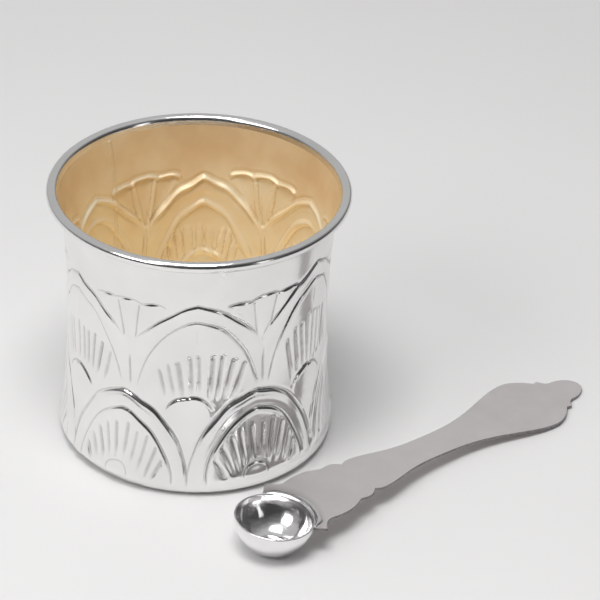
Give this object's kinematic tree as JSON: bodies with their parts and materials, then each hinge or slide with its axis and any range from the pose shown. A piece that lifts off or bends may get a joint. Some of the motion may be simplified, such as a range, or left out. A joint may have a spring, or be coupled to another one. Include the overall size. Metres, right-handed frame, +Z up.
{
  "type": "panchpatra",
  "caption": "Ritual water cup of embossed silver sheet with a rolled rim and gilt inside, with its loose flat-handled offering spoon.",
  "frame": {"origin": "centre of the cup's flat base, on the table", "axes": "+Z up along the cup's axis, -Y towards the front where the spoon's bowl lies, +X to the right"},
  "size_m": [0.1386, 0.1033, 0.07],
  "materials": {
    "silver": "hand-chased silver sheet, burnished",
    "gilt": "satin gilding inside the cup",
    "wire": "drawn wire",
    "bowl_silver": "polished spun silver",
    "plate_silver": "matt grey silver plate",
    "solder": "smooth silver solder"
  },
  "bodies": {
    "cup": {"cup_wall": "silver", "wall_seam": "gilt", "rim_wire": "wire", "base_disc": "silver", "base_solder": "gilt"},
    "spoon": {"spoon_bowl": "bowl_silver", "spoon_handle": "plate_silver", "spoon_solder": "solder"}
  },
  "joints": [
    {"name": "spoon_lift", "type": "slide", "parent": "cup", "child": "spoon", "axis": [0, 0, 1], "range_m": [0, 0.12]}
  ]
}
